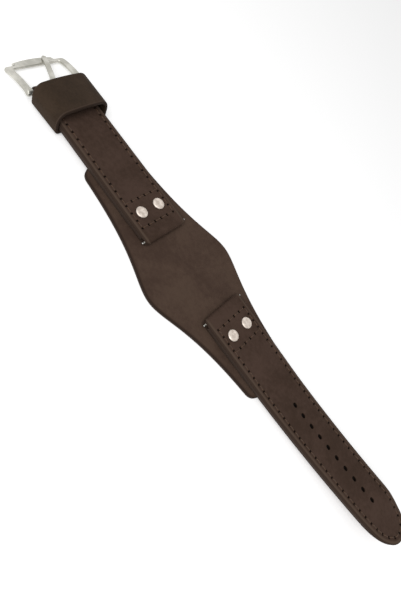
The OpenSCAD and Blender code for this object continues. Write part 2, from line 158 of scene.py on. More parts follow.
class Finish(Nodes):  # a material being wired up
    def __init__(self, name, **constants):
        self.material = bpy.data.materials.new(name)
        super().__init__(self.material, "Principled BSDF")
        for socket, value in constants.items():
            self.shader.inputs[socket.replace("_", " ")].default_value = value

    def place(self, stretch=(1, 1, 1)):  # Object coordinates in millimetres
        where = self.node("ShaderNodeTexCoord", output=3)
        return self.node("ShaderNodeMapping", {}, {0: where, 3: [s / mm for s in stretch]})

    def noise(self, where, cell, detail, roughness):
        inputs = {"Vector": where, "Scale": 1 / cell, "Detail": detail, "Roughness": roughness}
        return self.node("ShaderNodeTexNoise", {}, inputs)

    def cells(self, where, cell, feature="F1"):
        inputs = {"Vector": where, "Scale": 1 / cell}
        return self.node("ShaderNodeTexVoronoi", {"feature": feature}, inputs)

    def attribute(self, name):
        return self.node("ShaderNodeAttribute", {"attribute_name": name}, output=2)

    def spread(self, value, low, high):  # 0 at the low value, 1 at the high one, and eased between
        settings = {"interpolation_type": "SMOOTHSTEP"}
        return self.node("ShaderNodeMapRange", settings, {0: value, 1: low, 2: high})

    def bump(self, height, depth):  # depth in millimetres
        return self.node("ShaderNodeBump", {}, {"Height": height, "Distance": depth * mm})

    def wear(self, **sockets):
        self.feed(self.shader, {k.replace("_", " "): v for k, v in sockets.items()})
        return self.material


def linear(level):  # the light behind one level, 0 to 255, of a picture's colour
    share = level / 255
    return share / 12.92 if level <= 10 else ((share + 0.055) / 1.055) ** 2.4


def rgb(red, green, blue):  # a colour as a picture program shows it
    return linear(red), linear(green), linear(blue), 1.0


def grey(level):
    return level, level, level, 1.0


hide = {  # what all leathers share
    "fineness": 9, "broadShare": 0.65, "dyeLow": 0.36, "dyeHigh": 0.64,  # the dye's broad and fine mottling
    "napSize": 0.45, "creaseSize": 3.2, "creaseWidth": 0.12,  # times the pores' size
    "poreDepth": 0.6, "napDepth": 0.5, "creaseDepth": 0.5, "sheen": 0.12,
    "paintLow": 0.15, "paintHigh": 0.55, "paintWander": 0.2, "paintFill": 0.7, "paintRough": 0.75,
    # holes and dents are painted darker towards their depth, a painted shade; each rivet's shallow dent
    # takes a faint ring of it, a painted contact shadow
    "holeLow": 0.1, "holeHigh": 0.9, "paintedHoleShade": rgb(18, 12, 9),
}


def leatherFinish(name, look):
    finish = Finish(name, Specular_IOR_Level=look["shine"])
    where = finish.place()
    broad = finish.noise(where, look["mottle"], detail=4, roughness=0.6)
    fine = finish.noise(where, look["mottle"] / hide["fineness"], detail=3, roughness=0.6)
    pores = finish.cells(where, look["pore"])
    nap = finish.noise(where, look["pore"] * hide["napSize"], detail=2, roughness=0.6)
    creases = finish.cells(where, look["pore"] * hide["creaseSize"], "DISTANCE_TO_EDGE")
    mottled = broad * hide["broadShare"] + fine * (1 - hide["broadShare"])
    shade = finish.spread(mottled, hide["dyeLow"], hide["dyeHigh"])
    dyed = finish.blend(shade, look["dark"], look["light"])
    # the upper half of the top's rounding is toned towards the crest colour: lighter on the strap and
    # keeper, darker on the pad and lining
    crestToned = finish.blend(finish.attribute("crest") * look["crestShare"], dyed, look["crest"])
    brushed = finish.attribute("edge") + (fine - 0.5) * hide["paintWander"]
    painted = finish.spread(brushed, hide["paintLow"], hide["paintHigh"])
    # painted shade in holes and dents, darker the deeper they go
    paintedHoleShadeMask = finish.spread(finish.attribute("hole"), hide["holeLow"], hide["holeHigh"])
    crease = 1 - finish.spread(creases, 0.0, hide["creaseWidth"])
    grain = pores * hide["poreDepth"] + nap * hide["napDepth"] - crease * hide["creaseDepth"]
    rough = look["rough"] + (fine - 0.5) * hide["sheen"] + painted * (hide["paintRough"] - look["rough"])
    relief = grain * (1 - painted * hide["paintFill"])
    return finish.wear(
        Base_Color=finish.blend(paintedHoleShadeMask, finish.blend(painted, crestToned, look["edge"]), hide["paintedHoleShade"]),
        Roughness=rough,
        Normal=finish.bump(relief, look["relief"]),
    )


leatherLooks = {
    "strap": {"dark": rgb(62, 48, 40), "light": rgb(75, 59, 51), "shine": 0.04, "rough": 0.7,
              "mottle": 14, "pore": 0.42, "relief": 0.03, "crest": rgb(82, 68, 58), "crestShare": 0.9,
              "edge": rgb(58, 46, 39)},
    "pad": {"dark": rgb(69, 54, 46), "light": rgb(82, 66, 56), "shine": 0.05, "rough": 0.7,
            "mottle": 18, "pore": 0.42, "relief": 0.025, "crest": rgb(62, 48, 40), "crestShare": 0.8,
            "edge": rgb(47, 36, 30)},
    "keeper": {"dark": rgb(46, 35, 25), "light": rgb(58, 45, 34), "shine": 0.11, "rough": 0.62,
               "mottle": 9, "pore": 0.36, "relief": 0.03, "crest": rgb(66, 53, 44), "crestShare": 0.8,
               "edge": rgb(48, 37, 30)},
    "lining": {"dark": rgb(92, 68, 52), "light": rgb(108, 82, 64), "shine": 0.2, "rough": 0.8,
               "mottle": 8, "pore": 0.25, "relief": 0.05, "crest": rgb(84, 62, 48), "crestShare": 0.5,
               "edge": rgb(56, 45, 38)},
    "board": {"dark": rgb(120, 98, 78), "light": rgb(140, 116, 94), "shine": 0.2, "rough": 0.85,
              "mottle": 3, "pore": 0.3, "relief": 0.06, "crest": rgb(130, 106, 86), "crestShare": 0.0,
              "edge": rgb(58, 46, 39)},
}
leathers = {key: leatherFinish(key + "Leather", look) for key, look in leatherLooks.items()}


threadLook = {"dark": rgb(48, 34, 26), "light": rgb(87, 65, 47), "rough": 0.55, "shine": 0.3,
              "turns": 2.2, "plies": 2, "plyFade": 0.8, "relief": 0.05}


def threadFinish(look):
    finish = Finish("waxedThread", Roughness=look["rough"], Specular_IOR_Level=look["shine"])
    grain = finish.node("ShaderNodeTexCoord", output=2)  # UV, round and along each grain of thread
    around = finish.node("ShaderNodeSeparateXYZ", {}, {0: grain}, 0)
    along = finish.node("ShaderNodeSeparateXYZ", {}, {0: grain}, 1)
    twist = (along * look["turns"] + around * look["plies"]) % 1
    ply = 1 - abs(twist - 0.5) * 2
    # painted highlight and painted shade: each ply is lighter along its crest and darker in the grooves
    # between plies
    colour = finish.blend(finish.spread(ply, 0.0, look["plyFade"]), look["dark"], look["light"])
    return finish.wear(Base_Color=colour, Normal=finish.bump(ply, look["relief"]))


thread = threadFinish(threadLook)


metalHaze = {"low": 0.35, "high": 0.7, "roughness": 0.15}


def metalFinish(name, look):
    finish = Finish(name, Metallic=1.0)
    where = finish.place(look["brush"])
    strokes = finish.noise(where, look["stroke"], detail=2, roughness=0.6)
    haze = finish.noise(finish.place(), look["haze"], detail=3, roughness=0.55)
    shade = finish.spread(haze, metalHaze["low"], metalHaze["high"])
    colour = finish.blend(shade, look["dark"], look["light"])
    rough = look["rough"] + (strokes - 0.5) * metalHaze["roughness"] + (haze - 0.5) * metalHaze["roughness"]
    return finish.wear(Base_Color=colour, Roughness=rough, Normal=finish.bump(strokes, look["relief"]))


metalLooks = {
    "buckleSteel": {"dark": rgb(182, 180, 171), "light": rgb(210, 208, 200), "rough": 0.45,
                    "brush": (0.12, 1, 1), "stroke": 0.12, "haze": 4, "relief": 0.008},
    "rivetNickel": {"dark": rgb(194, 182, 171), "light": rgb(223, 213, 203), "rough": 0.5,
                    "brush": (1, 1, 1), "stroke": 0.25, "haze": 1.2, "relief": 0.006},
    "barSteel": {"dark": rgb(158, 156, 151), "light": rgb(190, 188, 183), "rough": 0.25,
                 "brush": (1, 0.2, 1), "stroke": 0.1, "haze": 2, "relief": 0.003},
}
metals = {key: metalFinish(key, look) for key, look in metalLooks.items()}
print("materials made")


# Workshop: a flat blank is cut, its edges rounded, its holes sunk, and it is then bent to its place

sharpFrom = 38  # degrees between two faces
roundSteps = 5  # in a rounded edge


def finishPiece(name, bm, material, body, replaces=()):
    bmesh.ops.recalc_face_normals(bm, faces=bm.faces)
    if bm.calc_volume(signed=True) < 0:
        bmesh.ops.reverse_faces(bm, faces=bm.faces)
    bmesh.ops.scale(bm, vec=(mm, mm, mm), verts=bm.verts)
    mesh = bpy.data.meshes.new(name)
    bm.to_mesh(mesh)
    bm.free()
    mesh.shade_smooth()
    mesh.set_sharp_from_angle(angle=math.radians(sharpFrom))
    mesh.materials.append(material)
    piece = bpy.data.objects.new(name, mesh)
    bpy.context.scene.collection.objects.link(piece)
    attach(piece, body)
    if replaces:
        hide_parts(*replaces)


def newVerts(geom):
    return [g for g in geom if isinstance(g, bmesh.types.BMVert)]


def loopOf(verts):  # the edges that lie wholly among these verts, in order
    kept = set(verts)
    edges = dict.fromkeys(e for v in verts for e in v.link_edges)
    return [e for e in edges if e.verts[0] in kept and e.verts[1] in kept]


def sinkRings(bm, centre, rings, sides, stretch=0.0):  # rings of (radius, level), one under another
    middle = Vector((centre[0], centre[1], 0))
    made = bmesh.ops.create_circle(bm, cap_ends=False, segments=sides, radius=rings[0][0],
                                   matrix=Matrix.Translation(middle + Vector((0, 0, rings[0][1]))))
    verts = made["verts"]
    for v in verts:
        v.co.x += math.copysign(stretch / 2, v.co.x - middle.x)
    loops = [loopOf(verts)]
    for (radius, level), (nextRadius, nextLevel) in zip(rings, rings[1:]):
        verts = newVerts(bmesh.ops.extrude_edge_only(bm, edges=loops[-1])["geom"])
        share = nextRadius / radius
        bmesh.ops.scale(bm, vec=(share, share, 1), space=Matrix.Translation(-middle), verts=verts)
        bmesh.ops.translate(bm, vec=(0, 0, nextLevel - level), verts=verts)
        loops.append(loopOf(verts))
    return loops[0], loops[-1]


def quarterTurn(steps):  # angles from none to a right one
    return [math.pi / 2 * i / steps for i in range(steps + 1)]


def insetRound(bm, face, width, rise, shelf=0.1):  # a rounded edge, and a flat shelf inside it
    turns = quarterTurn(roundSteps)
    insets = [(width * (math.cos(a) - math.cos(b)), rise * (math.sin(b) - math.sin(a)))
              for a, b in zip(turns, turns[1:])]
    for thickness, depth in insets + [(shelf, 0)]:
        bm.normal_update()
        bmesh.ops.inset_region(bm, faces=[face], thickness=thickness, depth=depth,
                               use_boundary=True, use_even_offset=True)


def cutBlank(outline, thick, topRound, bottomRound=0.0, through=(), dents=(), crown=(0.0, 0.1),
             paintDepth=0.3):
    # The top lies at level 0 and the underside at -thick; s runs along the piece and y across it.
    # The crown is how far the top's rounding reaches in, and the width of the shelf beyond it.
    bm = bmesh.new()
    painted = bm.verts.layers.float.new("edge")
    crested = bm.verts.layers.float.new("crest")
    holed = bm.verts.layers.float.new("hole")
    area = sum(a[0] * b[1] - b[0] * a[1] for a, b in zip(outline, outline[1:] + outline[:1]))
    points = outline if area > 0 else outline[::-1]
    top = bm.faces.new([bm.verts.new((s, y, bottomRound - thick)) for s, y in points])
    grown = bmesh.ops.extrude_face_region(bm, geom=[top], use_keep_orig=True)["geom"]
    base = top
    top = next(g for g in grown if isinstance(g, bmesh.types.BMFace))
    bmesh.ops.translate(bm, verts=top.verts, vec=(0, 0, thick - topRound - bottomRound))
    bm.normal_update()
    if top.normal.z < 0:
        bmesh.ops.reverse_faces(bm, faces=[top])
    if base.normal.z > 0:
        bmesh.ops.reverse_faces(bm, faces=[base])
    insetRound(bm, top, max(topRound, crown[0]), topRound, crown[1])
    if bottomRound:
        insetRound(bm, base, bottomRound, bottomRound)
    topEdges, baseEdges = list(top.edges), list(base.edges)
    rim, shelf = set(bm.verts), set(top.verts)
    for hole in through:
        lip = hole["rim"]
        lipMiddle = 0.3 * lip  # a quarter circle's middle lies this far from both its sides
        rings = [(hole["radius"] + lip, 0), (hole["radius"] + lipMiddle, -lipMiddle),
                 (hole["radius"], -lip), (hole["radius"], -thick)]
        first, last = sinkRings(bm, hole["at"], rings, hole["sides"], hole.get("stretch", 0.0))
        topEdges += first
        baseEdges += last
    for dent in dents:
        first, last = sinkRings(bm, dent["at"], dent["rings"], dent["sides"])
        bmesh.ops.edgeloop_fill(bm, edges=last)
        topEdges += first
    bmesh.ops.delete(bm, geom=[top, base], context="FACES_ONLY")
    askew = Matrix.Rotation(math.radians(11), 3, "Z")  # corners in a row along X or Y upset the fill
    bmesh.ops.rotate(bm, verts=bm.verts, cent=(0, 0, 0), matrix=askew)
    bmesh.ops.triangle_fill(bm, use_beauty=True, use_dissolve=False, edges=topEdges, normal=(0, 0, 1))
    bmesh.ops.triangle_fill(bm, use_beauty=True, use_dissolve=False, edges=baseEdges, normal=(0, 0, -1))
    bmesh.ops.rotate(bm, verts=bm.verts, cent=(0, 0, 0), matrix=askew.inverted())
    for v in bm.verts:
        depth = min(-v.co.z, thick + v.co.z if bottomRound else thick)
        share = min(1.0, max(0.0, depth / paintDepth))
        v[painted] = share if v in rim else 0.0
        # depth into holes and dents, which the leathers darken as a painted shade
        v[holed] = 0.0 if v in rim else share
        v[crested] = 1.0 if v in rim and v not in shelf and -v.co.z < topRound / 2 else 0.0
    return bm


def bend(bm, stations, place):
    for s in stations:
        everything = bm.verts[:] + bm.edges[:] + bm.faces[:]
        bmesh.ops.bisect_plane(bm, geom=everything, dist=0.0005, plane_co=(s, 0, 0), plane_no=(1, 0, 0))
    for v in bm.verts:
        v.co = place(*v.co)


def ramp(x, x0, x1, v0, v1):  # a straight change between two values, level before and after
    share = min(1.0, max(0.0, (x - x0) / (x1 - x0)))
    return v0 + (v1 - v0) * share


def evenly(start, end, step):
    count = max(1, round(abs(end - start) / step))
    return [start + (end - start) * i / count for i in range(count + 1)]


def runLengths(points):  # from the start of a line to each of its points
    lengths = [0.0]
    for a, b in zip(points, points[1:]):
        lengths.append(lengths[-1] + math.dist(a, b))
    return lengths


def stretchAt(lengths, want):  # which stretch a length falls in, by its end, and how far through it
    k = min(max(1, bisect.bisect_left(lengths, want)), len(lengths) - 1)
    return k, (want - lengths[k - 1]) / (lengths[k] - lengths[k - 1])


# Straps: their outline and side view

strap = {
    "topThick": 1.1, "liningThick": 0.9, "tailThick": 2.7,
    "lugWall": 0.74, "buckleWall": 0.64, "skive": 1.85,  # leather round the bars, and how far it stays thin
    "lugTongue": 5.0, "buckleTongue": 7.0,
    "flatEnd": 34.0, "thinStart": 60.0, "fillerFade": 119.3, "fillerEnd": 125.3,
    "curl": 6.0, "curlStart": 54.0,
    "corner": 0.8, "tailHalf": 10.3, "buckleHalf": 10.2, "tipLength": 19.0, "tipFull": 0.87, "tipSteps": 28,
    "edgeRound": 0.65, "crown": (1.15, 0.45), "liningRound": 0.4,
    "lugTurn": 0.22, "buckleTurn": 0.24, "closeStep": 1.5, "step": 2,  # steps from cut to cut
    "pastBar": 0.6, "beforeBar": 0.5, "cutBeforeBar": 0.4, "cutBeforeTip": 1,
}
tipStart = tailEnd - strap["tipLength"]


def tailCurl(x):
    rise = max(0.0, (x - strap["curlStart"]) / (tailEnd - strap["curlStart"]))
    return strap["curl"] * rise * rise


def tailThick(x):
    if x < strap["fillerFade"]:
        return ramp(x, strap["flatEnd"], strap["thinStart"], 2 * lugFold, strap["tailThick"])
    thin = strap["topThick"] + strap["liningThick"]
    return ramp(x, strap["fillerFade"], strap["fillerEnd"], strap["tailThick"], thin)


def shortThick(x):
    return ramp(x, strap["flatEnd"], buckleX, 2 * lugFold, 2 * buckleFold)


def halfWidth(x, endX, endHalf):
    half = ramp(x, strap["flatEnd"], endX, lugHalf, endHalf)
    corner = strap["corner"]
    if x < lugX + corner:
        gap = corner - max(0.0, x - lugX)
        half -= corner - math.sqrt(corner * corner - gap * gap)
    return half


def noseAt(turn, inset=0.0):  # round the tip, which is a little fuller than an ellipse
    across = math.copysign(abs(math.sin(turn)) ** strap["tipFull"], math.sin(turn))
    along = math.cos(turn) ** strap["tipFull"]
    return tipStart + (strap["tipLength"] - inset) * along, (strap["tailHalf"] - inset) * across


def tailHalf(x):
    return halfWidth(x, tipStart, strap["tailHalf"])


def shortHalf(x):
    return halfWidth(x, buckleX - buckleFold, strap["buckleHalf"])


def roundBar(turn, n, barX, fold, wall, way):  # leather round a bar; turn is the way past the bar's top
    arcLength = math.pi * fold
    if turn <= arcLength:
        radius = fold + n * wall / strap["topThick"]
        return barX + way * radius * math.sin(turn / fold), strapZ + fold + radius * math.cos(turn / fold)
    back = turn - arcLength
    thick = ramp(back, 0, strap["skive"], wall, strap["liningThick"])
    return barX - way * back, strapZ - n * thick / strap["topThick"]


def tailTopPlace(s, y, n):
    if s < lugBar.x:
        x, z = roundBar(lugBar.x - s, n, lugBar.x, lugFold, strap["lugWall"], -1)
        return Vector((x, y, z))
    thick = ramp(s, lugBar.x, lugBar.x + strap["skive"], strap["lugWall"], strap["topThick"])
    return Vector((s, y, strapZ + tailCurl(s) + tailThick(s) + n * thick / strap["topThick"]))


def shortTopPlace(s, y, n):  # drawn along +X like the long one, and mirrored
    if s < lugBar.x:
        x, z = roundBar(lugBar.x - s, n, lugBar.x, lugFold, strap["lugWall"], -1)
    elif s > buckleX:
        x, z = roundBar(s - buckleX, n, buckleX, buckleFold, strap["buckleWall"], 1)
    else:
        thick = min(ramp(s, lugBar.x, lugBar.x + strap["skive"], strap["lugWall"], strap["topThick"]),
                    ramp(s, buckleX - strap["skive"], buckleX, strap["topThick"], strap["buckleWall"]))
        x, z = s, strapZ + shortThick(s) + n * thick / strap["topThick"]
    return Vector((-x, y, z))


def stripOutline(stations, half, tip=False):  # round the strip, from its near side to its far side
    near = [(s, -half(s)) for s in stations]
    far = [(s, half(s)) for s in reversed(stations)]
    steps = strap["tipSteps"] if tip else 0
    return near + [noseAt(math.pi * (i / steps - 0.5)) for i in range(1, steps)] + far


# Stitching: even holes along a line, a dent for each, and a grain of thread between neighbours

stitching = {
    "inset": 2.45, "pitch": 3.25, "crossNear": 6.2, "crossFar": 17.0, "shortEnd": 80.5,
    "thread": 0.2, "rise": 0.05, "dive": 0.42, "clear": 0.18, "sides": 8,
    "dent": [(0.8, 0.0), (0.55, -0.15), (0.4, -0.45)], "dentSides": 8, "apart": 1.4, "cornerClear": 0.8,
    "sideStep": 4, "noseStep": 5,  # mm along the sides, degrees round the tip
}


def spaced(points, pitch):  # even steps along a line through the points
    lengths = runLengths(points)
    found = []
    for want in evenly(0, lengths[-1], pitch):
        k, share = stretchAt(lengths, want)
        a, b = points[k - 1], points[k]
        found.append((a[0] + (b[0] - a[0]) * share, a[1] + (b[1] - a[1]) * share))
    return found


def crossLines(half):
    rows = []
    for x in (lugX + stitching["crossNear"], lugX + stitching["crossFar"]):
        y = half(x) - stitching["inset"]
        rows.append(spaced([(x, -y), (x, y)], stitching["pitch"]))
    return rows


def seamSide(half, end):
    stations = evenly(lugX + stitching["crossNear"], end, stitching["sideStep"])
    return [(x, half(x) - stitching["inset"]) for x in stations]


def tailSeams():
    far = seamSide(tailHalf, tipStart)
    near = [(x, -y) for x, y in reversed(far)]
    step = stitching["noseStep"]
    nose = [noseAt(math.radians(a), stitching["inset"]) for a in range(90 - step, -90, -step)]
    return [spaced(far + nose + near, stitching["pitch"])] + crossLines(tailHalf)


def shortSeams():
    far = spaced(seamSide(shortHalf, stitching["shortEnd"]), stitching["pitch"])
    return [far, [(x, -y) for x, y in far]] + crossLines(shortHalf)


def stitchHoles(seams, shownFrom=0.0):
    points = [p for seam in seams for p in seam if p[0] > shownFrom]
    kept = []
    for p in points:  # seams meet at their corners, where one hole serves both
        if all(math.dist(p, q) > stitching["apart"] for q in kept):
            kept.append(p)
    return [{"at": p, "rings": stitching["dent"], "sides": stitching["dentSides"]} for p in kept]


def addStitches(bm, seams, place, shownFrom=0.0):  # grains of thread, from balls drawn out along the seam
    lay = Matrix.Rotation(math.pi / 2, 4, "Y")
    sides = stitching["sides"]
    for seam in seams:
        for a, b in zip(seam, seam[1:]):
            if min(a[0], b[0]) < shownFrom:
                continue
            middle = ((a[0] + b[0]) / 2, (a[1] + b[1]) / 2)
            angle = math.atan2(b[1] - a[1], b[0] - a[0])
            reach = math.dist(a, b) / 2 - stitching["clear"]
            grain = bmesh.ops.create_uvsphere(bm, u_segments=sides, v_segments=sides, radius=1, matrix=lay,
                                              calc_uvs=True)
            for v in grain["verts"]:
                t = v.co.x
                thick = stitching["thread"] * math.hypot(1, t)  # fuller towards the ends than a ball
                across = v.co.y * thick
                level = v.co.z * thick + stitching["rise"] - stitching["dive"] * t * t
                s = middle[0] + reach * t * math.cos(angle) - across * math.sin(angle)
                y = middle[1] + reach * t * math.sin(angle) + across * math.cos(angle)
                v.co = place(s, y, level)


# Rivets and punched holes, which the leathers are cut for

rivets = {
    "pitch": 9.2, "cap": 2.4, "height": 0.75, "shank": 1.0, "room": 0.05, "pressed": 0.1, "foot": 0.5,
    "dimple": 0.55, "rim": 0.35, "sag": 0.25,  # shares: of the cap's radius, and twice of its height
    "bevel": 0.08, "dent": [(3.3, 0.0), (2.9, -0.03), (2.5, -0.1)],
    "sides": 48, "dentSides": 32, "holeSides": 24, "shoulderSteps": 10, "dimpleSteps": 8,
}
punch = {"first": 48.8, "pitch": 5.3, "count": 10, "radius": 0.8, "stretch": 0.6, "rim": 0.16, "sides": 20}
prongSlot = {"half": 2.45, "back": 6.5, "deep": 3.4, "rim": 0.12, "sides": 24}


def rivetSpots(node):
    return [(middleMm(node).x, side * rivets["pitch"] / 2) for side in (-1, 1)]


def shankHoles():
    return [{"at": spot, "radius": rivets["shank"] + rivets["room"], "rim": rivets["room"],
             "sides": rivets["holeSides"]}
            for node in ("buckle_strap_rivets", "tail_strap_rivets") for spot in rivetSpots(node)]


def rivetDents():  # the straps' blanks both run along +X
    return [{"at": spot, "rings": rivets["dent"], "sides": rivets["dentSides"]}
            for spot in rivetSpots("tail_strap_rivets")]


def punchedHoles():
    first = lugX + punch["first"]
    return [{"at": (first + i * punch["pitch"], 0), "radius": punch["radius"], "rim": punch["rim"],
             "sides": punch["sides"], "stretch": punch["stretch"]} for i in range(punch["count"])]


# Cuff pad

pad = {"flank": 20.6, "crest": 8.0, "midHalf": 23.0, "endHalf": 12.8, "corner": 4.5, "topThick": 1.2,
       "liningThick": 1.0, "edgeRound": 0.6, "liningRound": 0.4, "sideStep": 1.6, "cutStep": 4,
       "cornerFrom": 84, "cornerStep": 7}  # degrees


def padOutline():
    half = padHigh.x

    def fall(x):
        return math.exp(-(math.hypot(x, pad["crest"]) - pad["crest"]) / pad["flank"])

    swell = (pad["midHalf"] - pad["endHalf"]) / (1 - fall(half))
    cornerX = half - pad["corner"]
    side = [(x, pad["midHalf"] - swell * (1 - fall(x))) for x in evenly(0, cornerX, pad["sideStep"])]
    centreY = side[-1][1] - pad["corner"]
    turns = [math.radians(a) for a in range(pad["cornerFrom"], -1, -pad["cornerStep"])]
    bow = [(cornerX + pad["corner"] * math.cos(a), centreY + pad["corner"] * math.sin(a)) for a in turns]
    quarter = side + bow
    right = quarter + [(x, -y) for x, y in reversed(quarter)]
    return right + [(-x, y) for x, y in reversed(right)][1:-1]


def makePad():
    outline = padOutline()
    reach = padHigh.x - pad["cutStep"] / 2
    lengthwise = evenly(-reach, reach, pad["cutStep"])
    bm = cutBlank(outline, pad["topThick"], pad["edgeRound"], through=shankHoles())
    bend(bm, lengthwise, lambda s, y, n: Vector((s, y, strapZ + n)))
    finishPiece("padTopLeather", bm, leathers["pad"], "band", ["pad_top"])
    bm = cutBlank(outline, pad["liningThick"], pad["liningRound"])
    bend(bm, lengthwise, lambda s, y, n: Vector((s, y, -n)))
    finishPiece("padLiningLeather", bm, leathers["lining"], "band", ["pad_lining"])


# Straps: top leather, lining, filler board and thread

board = {"edge": 0.02, "gap": 0.3, "punchRoom": 2}
foldStart = lugBar.x - math.pi * lugFold
tongueEnd = foldStart - lugFold - strap["lugTongue"]
pastLug = lugBar.x + strap["pastBar"]
lugTurns = evenly(foldStart, lugBar.x, strap["lugTurn"])
lugStations = [tongueEnd] + lugTurns + evenly(pastLug, strap["flatEnd"], strap["closeStep"])
lugBends = [lugBar.x + strap["skive"], strap["flatEnd"]]  # where the thickness changes its slope
liningStart = lugBar.x + lugFold + strap["lugTongue"]
beyondPad = padHigh.x + 1  # under the straps, holes and thread start here


def tailUnderPlace(s, y, n):
    return Vector((s, y, strapZ + tailCurl(s) - n))


def shortUnderPlace(s, y, n):
    return Vector((-s, y, strapZ - n))


def boardLevel(n, thick):  # n, from -1 to 0 through the blank, fills what the leathers leave
    low = strap["liningThick"]
    high = thick - strap["topThick"]
    return strapZ + low + (high - low) * (1 + n)


def makeFiller(name, node, outline, stations, place, through=()):
    bm = cutBlank(outline, 1.0, board["edge"], through=through, paintDepth=board["edge"])
    bend(bm, stations[1:-1] + [strap["flatEnd"], strap["thinStart"]], place)
    finishPiece(name, bm, leathers["board"], "band", [node])


def stitchStrap(name, seams, topPlace, underPlace):
    bm = bmesh.new()
    bm.loops.layers.uv.verify()
    addStitches(bm, seams, topPlace)
    addStitches(bm, seams, underPlace, beyondPad)
    finishPiece(name, bm, thread, "band")


def tailBoardHalf(x):
    reach = max(0.0, (x - tipStart) / strap["tipLength"])
    return tailHalf(x) * math.sqrt(1 - reach * reach)


def makeTailStrap():
    seams = tailSeams()
    punched = punchedHoles()
    stations = lugStations + evenly(strap["flatEnd"], tipStart, strap["step"])[1:]
    outline = stripOutline(stations, lambda s: tailHalf(tailTopPlace(s, 0, 0).x), tip=True)
    bm = cutBlank(outline, strap["topThick"], strap["edgeRound"], through=punched,
                  dents=stitchHoles(seams) + rivetDents(), crown=strap["crown"])
    cuts = lugTurns + evenly(pastLug, tailEnd - strap["cutBeforeTip"], strap["closeStep"]) + lugBends
    bend(bm, cuts, tailTopPlace)
    finishPiece("tailStrapLeather", bm, leathers["strap"], "band", ["tail_strap_top"])

    stations = evenly(liningStart, tipStart, strap["step"])
    outline = stripOutline(stations, tailHalf, tip=True)
    bm = cutBlank(outline, strap["liningThick"], strap["liningRound"], through=punched,
                  dents=stitchHoles(seams, beyondPad))
    bend(bm, stations[1:], tailUnderPlace)
    finishPiece("tailStrapLining", bm, leathers["lining"], "band", ["tail_strap_lining"])

    stations = evenly(lugBar.x + lugFold + board["gap"], strap["fillerEnd"], strap["step"])
    holes = [h for h in punched if h["at"][0] < strap["fillerEnd"] - board["punchRoom"]]
    makeFiller("tailStrapFiller", "tail_strap_filler", stripOutline(stations, tailBoardHalf), stations,
               lambda s, y, n: Vector((s, y, tailCurl(s) + boardLevel(n, tailThick(s)))), holes)
    stitchStrap("tailStrapStitching", seams, tailTopPlace, tailUnderPlace)


def makeShortStrap():
    seams = shortSeams()
    foldEnd = buckleX + math.pi * buckleFold
    farEnd = foldEnd + buckleFold + strap["buckleTongue"]
    buckleTurns = evenly(buckleX, foldEnd, strap["buckleTurn"])
    stations = lugStations + evenly(strap["flatEnd"], buckleX - strap["beforeBar"], strap["step"])[1:]
    outline = stripOutline(stations + buckleTurns + [farEnd], lambda s: shortHalf(-shortTopPlace(s, 0, 0).x))
    slotStart = buckleX - prongSlot["back"]
    slotLength = foldEnd + prongSlot["deep"] - slotStart
    cutOut = {"at": (slotStart + slotLength / 2, 0), "radius": prongSlot["half"], "rim": prongSlot["rim"],
              "sides": prongSlot["sides"], "stretch": slotLength - 2 * prongSlot["half"]}
    bm = cutBlank(outline, strap["topThick"], strap["edgeRound"], through=[cutOut],
                  dents=stitchHoles(seams) + rivetDents(), crown=strap["crown"])
    cuts = lugTurns + evenly(pastLug, buckleX - strap["cutBeforeBar"], strap["step"]) + buckleTurns
    cuts += evenly(foldEnd + strap["pastBar"], farEnd - strap["beforeBar"], strap["step"])
    cuts += lugBends + [buckleX - strap["skive"], foldEnd + strap["skive"]]
    bend(bm, cuts, shortTopPlace)
    finishPiece("buckleStrapLeather", bm, leathers["strap"], "band", ["buckle_strap_top"])

    liningEnd = buckleX - buckleFold - strap["buckleTongue"]
    stations = evenly(liningStart, liningEnd, strap["step"])
    holes = [h for h in stitchHoles(seams, beyondPad) if h["at"][0] < liningEnd - stitching["cornerClear"]]
    bm = cutBlank(stripOutline(stations, shortHalf), strap["liningThick"], strap["liningRound"], dents=holes)
    bend(bm, stations[1:-1], shortUnderPlace)
    finishPiece("buckleStrapLining", bm, leathers["lining"], "band",
                ["buckle_strap_lining"])

    end = buckleX - buckleFold - board["gap"]
    stations = evenly(lugBar.x + lugFold + board["gap"], end, strap["step"])
    outline = stripOutline(stations, shortHalf)
    back, side = buckleX - prongSlot["deep"], prongSlot["half"]
    outline[len(stations):len(stations)] = [(end, -side), (back, -side), (back, side), (end, side)]
    makeFiller("buckleStrapFiller", "buckle_strap_filler", outline, stations,
               lambda s, y, n: Vector((-s, y, boardLevel(n, shortThick(s)))))
    stitchStrap("buckleStrapStitching", seams, shortTopPlace, shortUnderPlace)


makePad()
makeTailStrap()
makeShortStrap()
print("leather cut, bent and stitched")


# Rivets

def latheRivet(bm, centre, seat):  # half its section, from the shank's foot up to the dimple, spun round
    cap, height, shank, foot = rivets["cap"], rivets["height"], rivets["shank"], rivets["foot"]
    dimple = cap * rivets["dimple"]
    rim = height * rivets["rim"]
    under = seat - rivets["pressed"]
    section = [(0, foot), (shank, foot), (shank, under), (cap - rivets["bevel"], under), (cap, seat),
               (cap, seat + rim)]
    for a in quarterTurn(rivets["shoulderSteps"])[1:]:
        section.append((dimple + (cap - dimple) * math.cos(a), seat + rim + (height - rim) * math.sin(a)))
    for a in quarterTurn(rivets["dimpleSteps"])[1:]:
        section.append((dimple * math.cos(a), seat + height - rivets["sag"] * height * math.sin(a) ** 2))
    verts = [bm.verts.new((centre[0] + r, centre[1], z)) for r, z in section]
    edges = [bm.edges.new(pair) for pair in zip(verts, verts[1:])]
    bmesh.ops.spin(bm, geom=verts + edges, cent=(*centre, 0), axis=(0, 0, 1), angle=2 * math.pi,
                   steps=rivets["sides"], use_merge=True, use_duplicate=False)


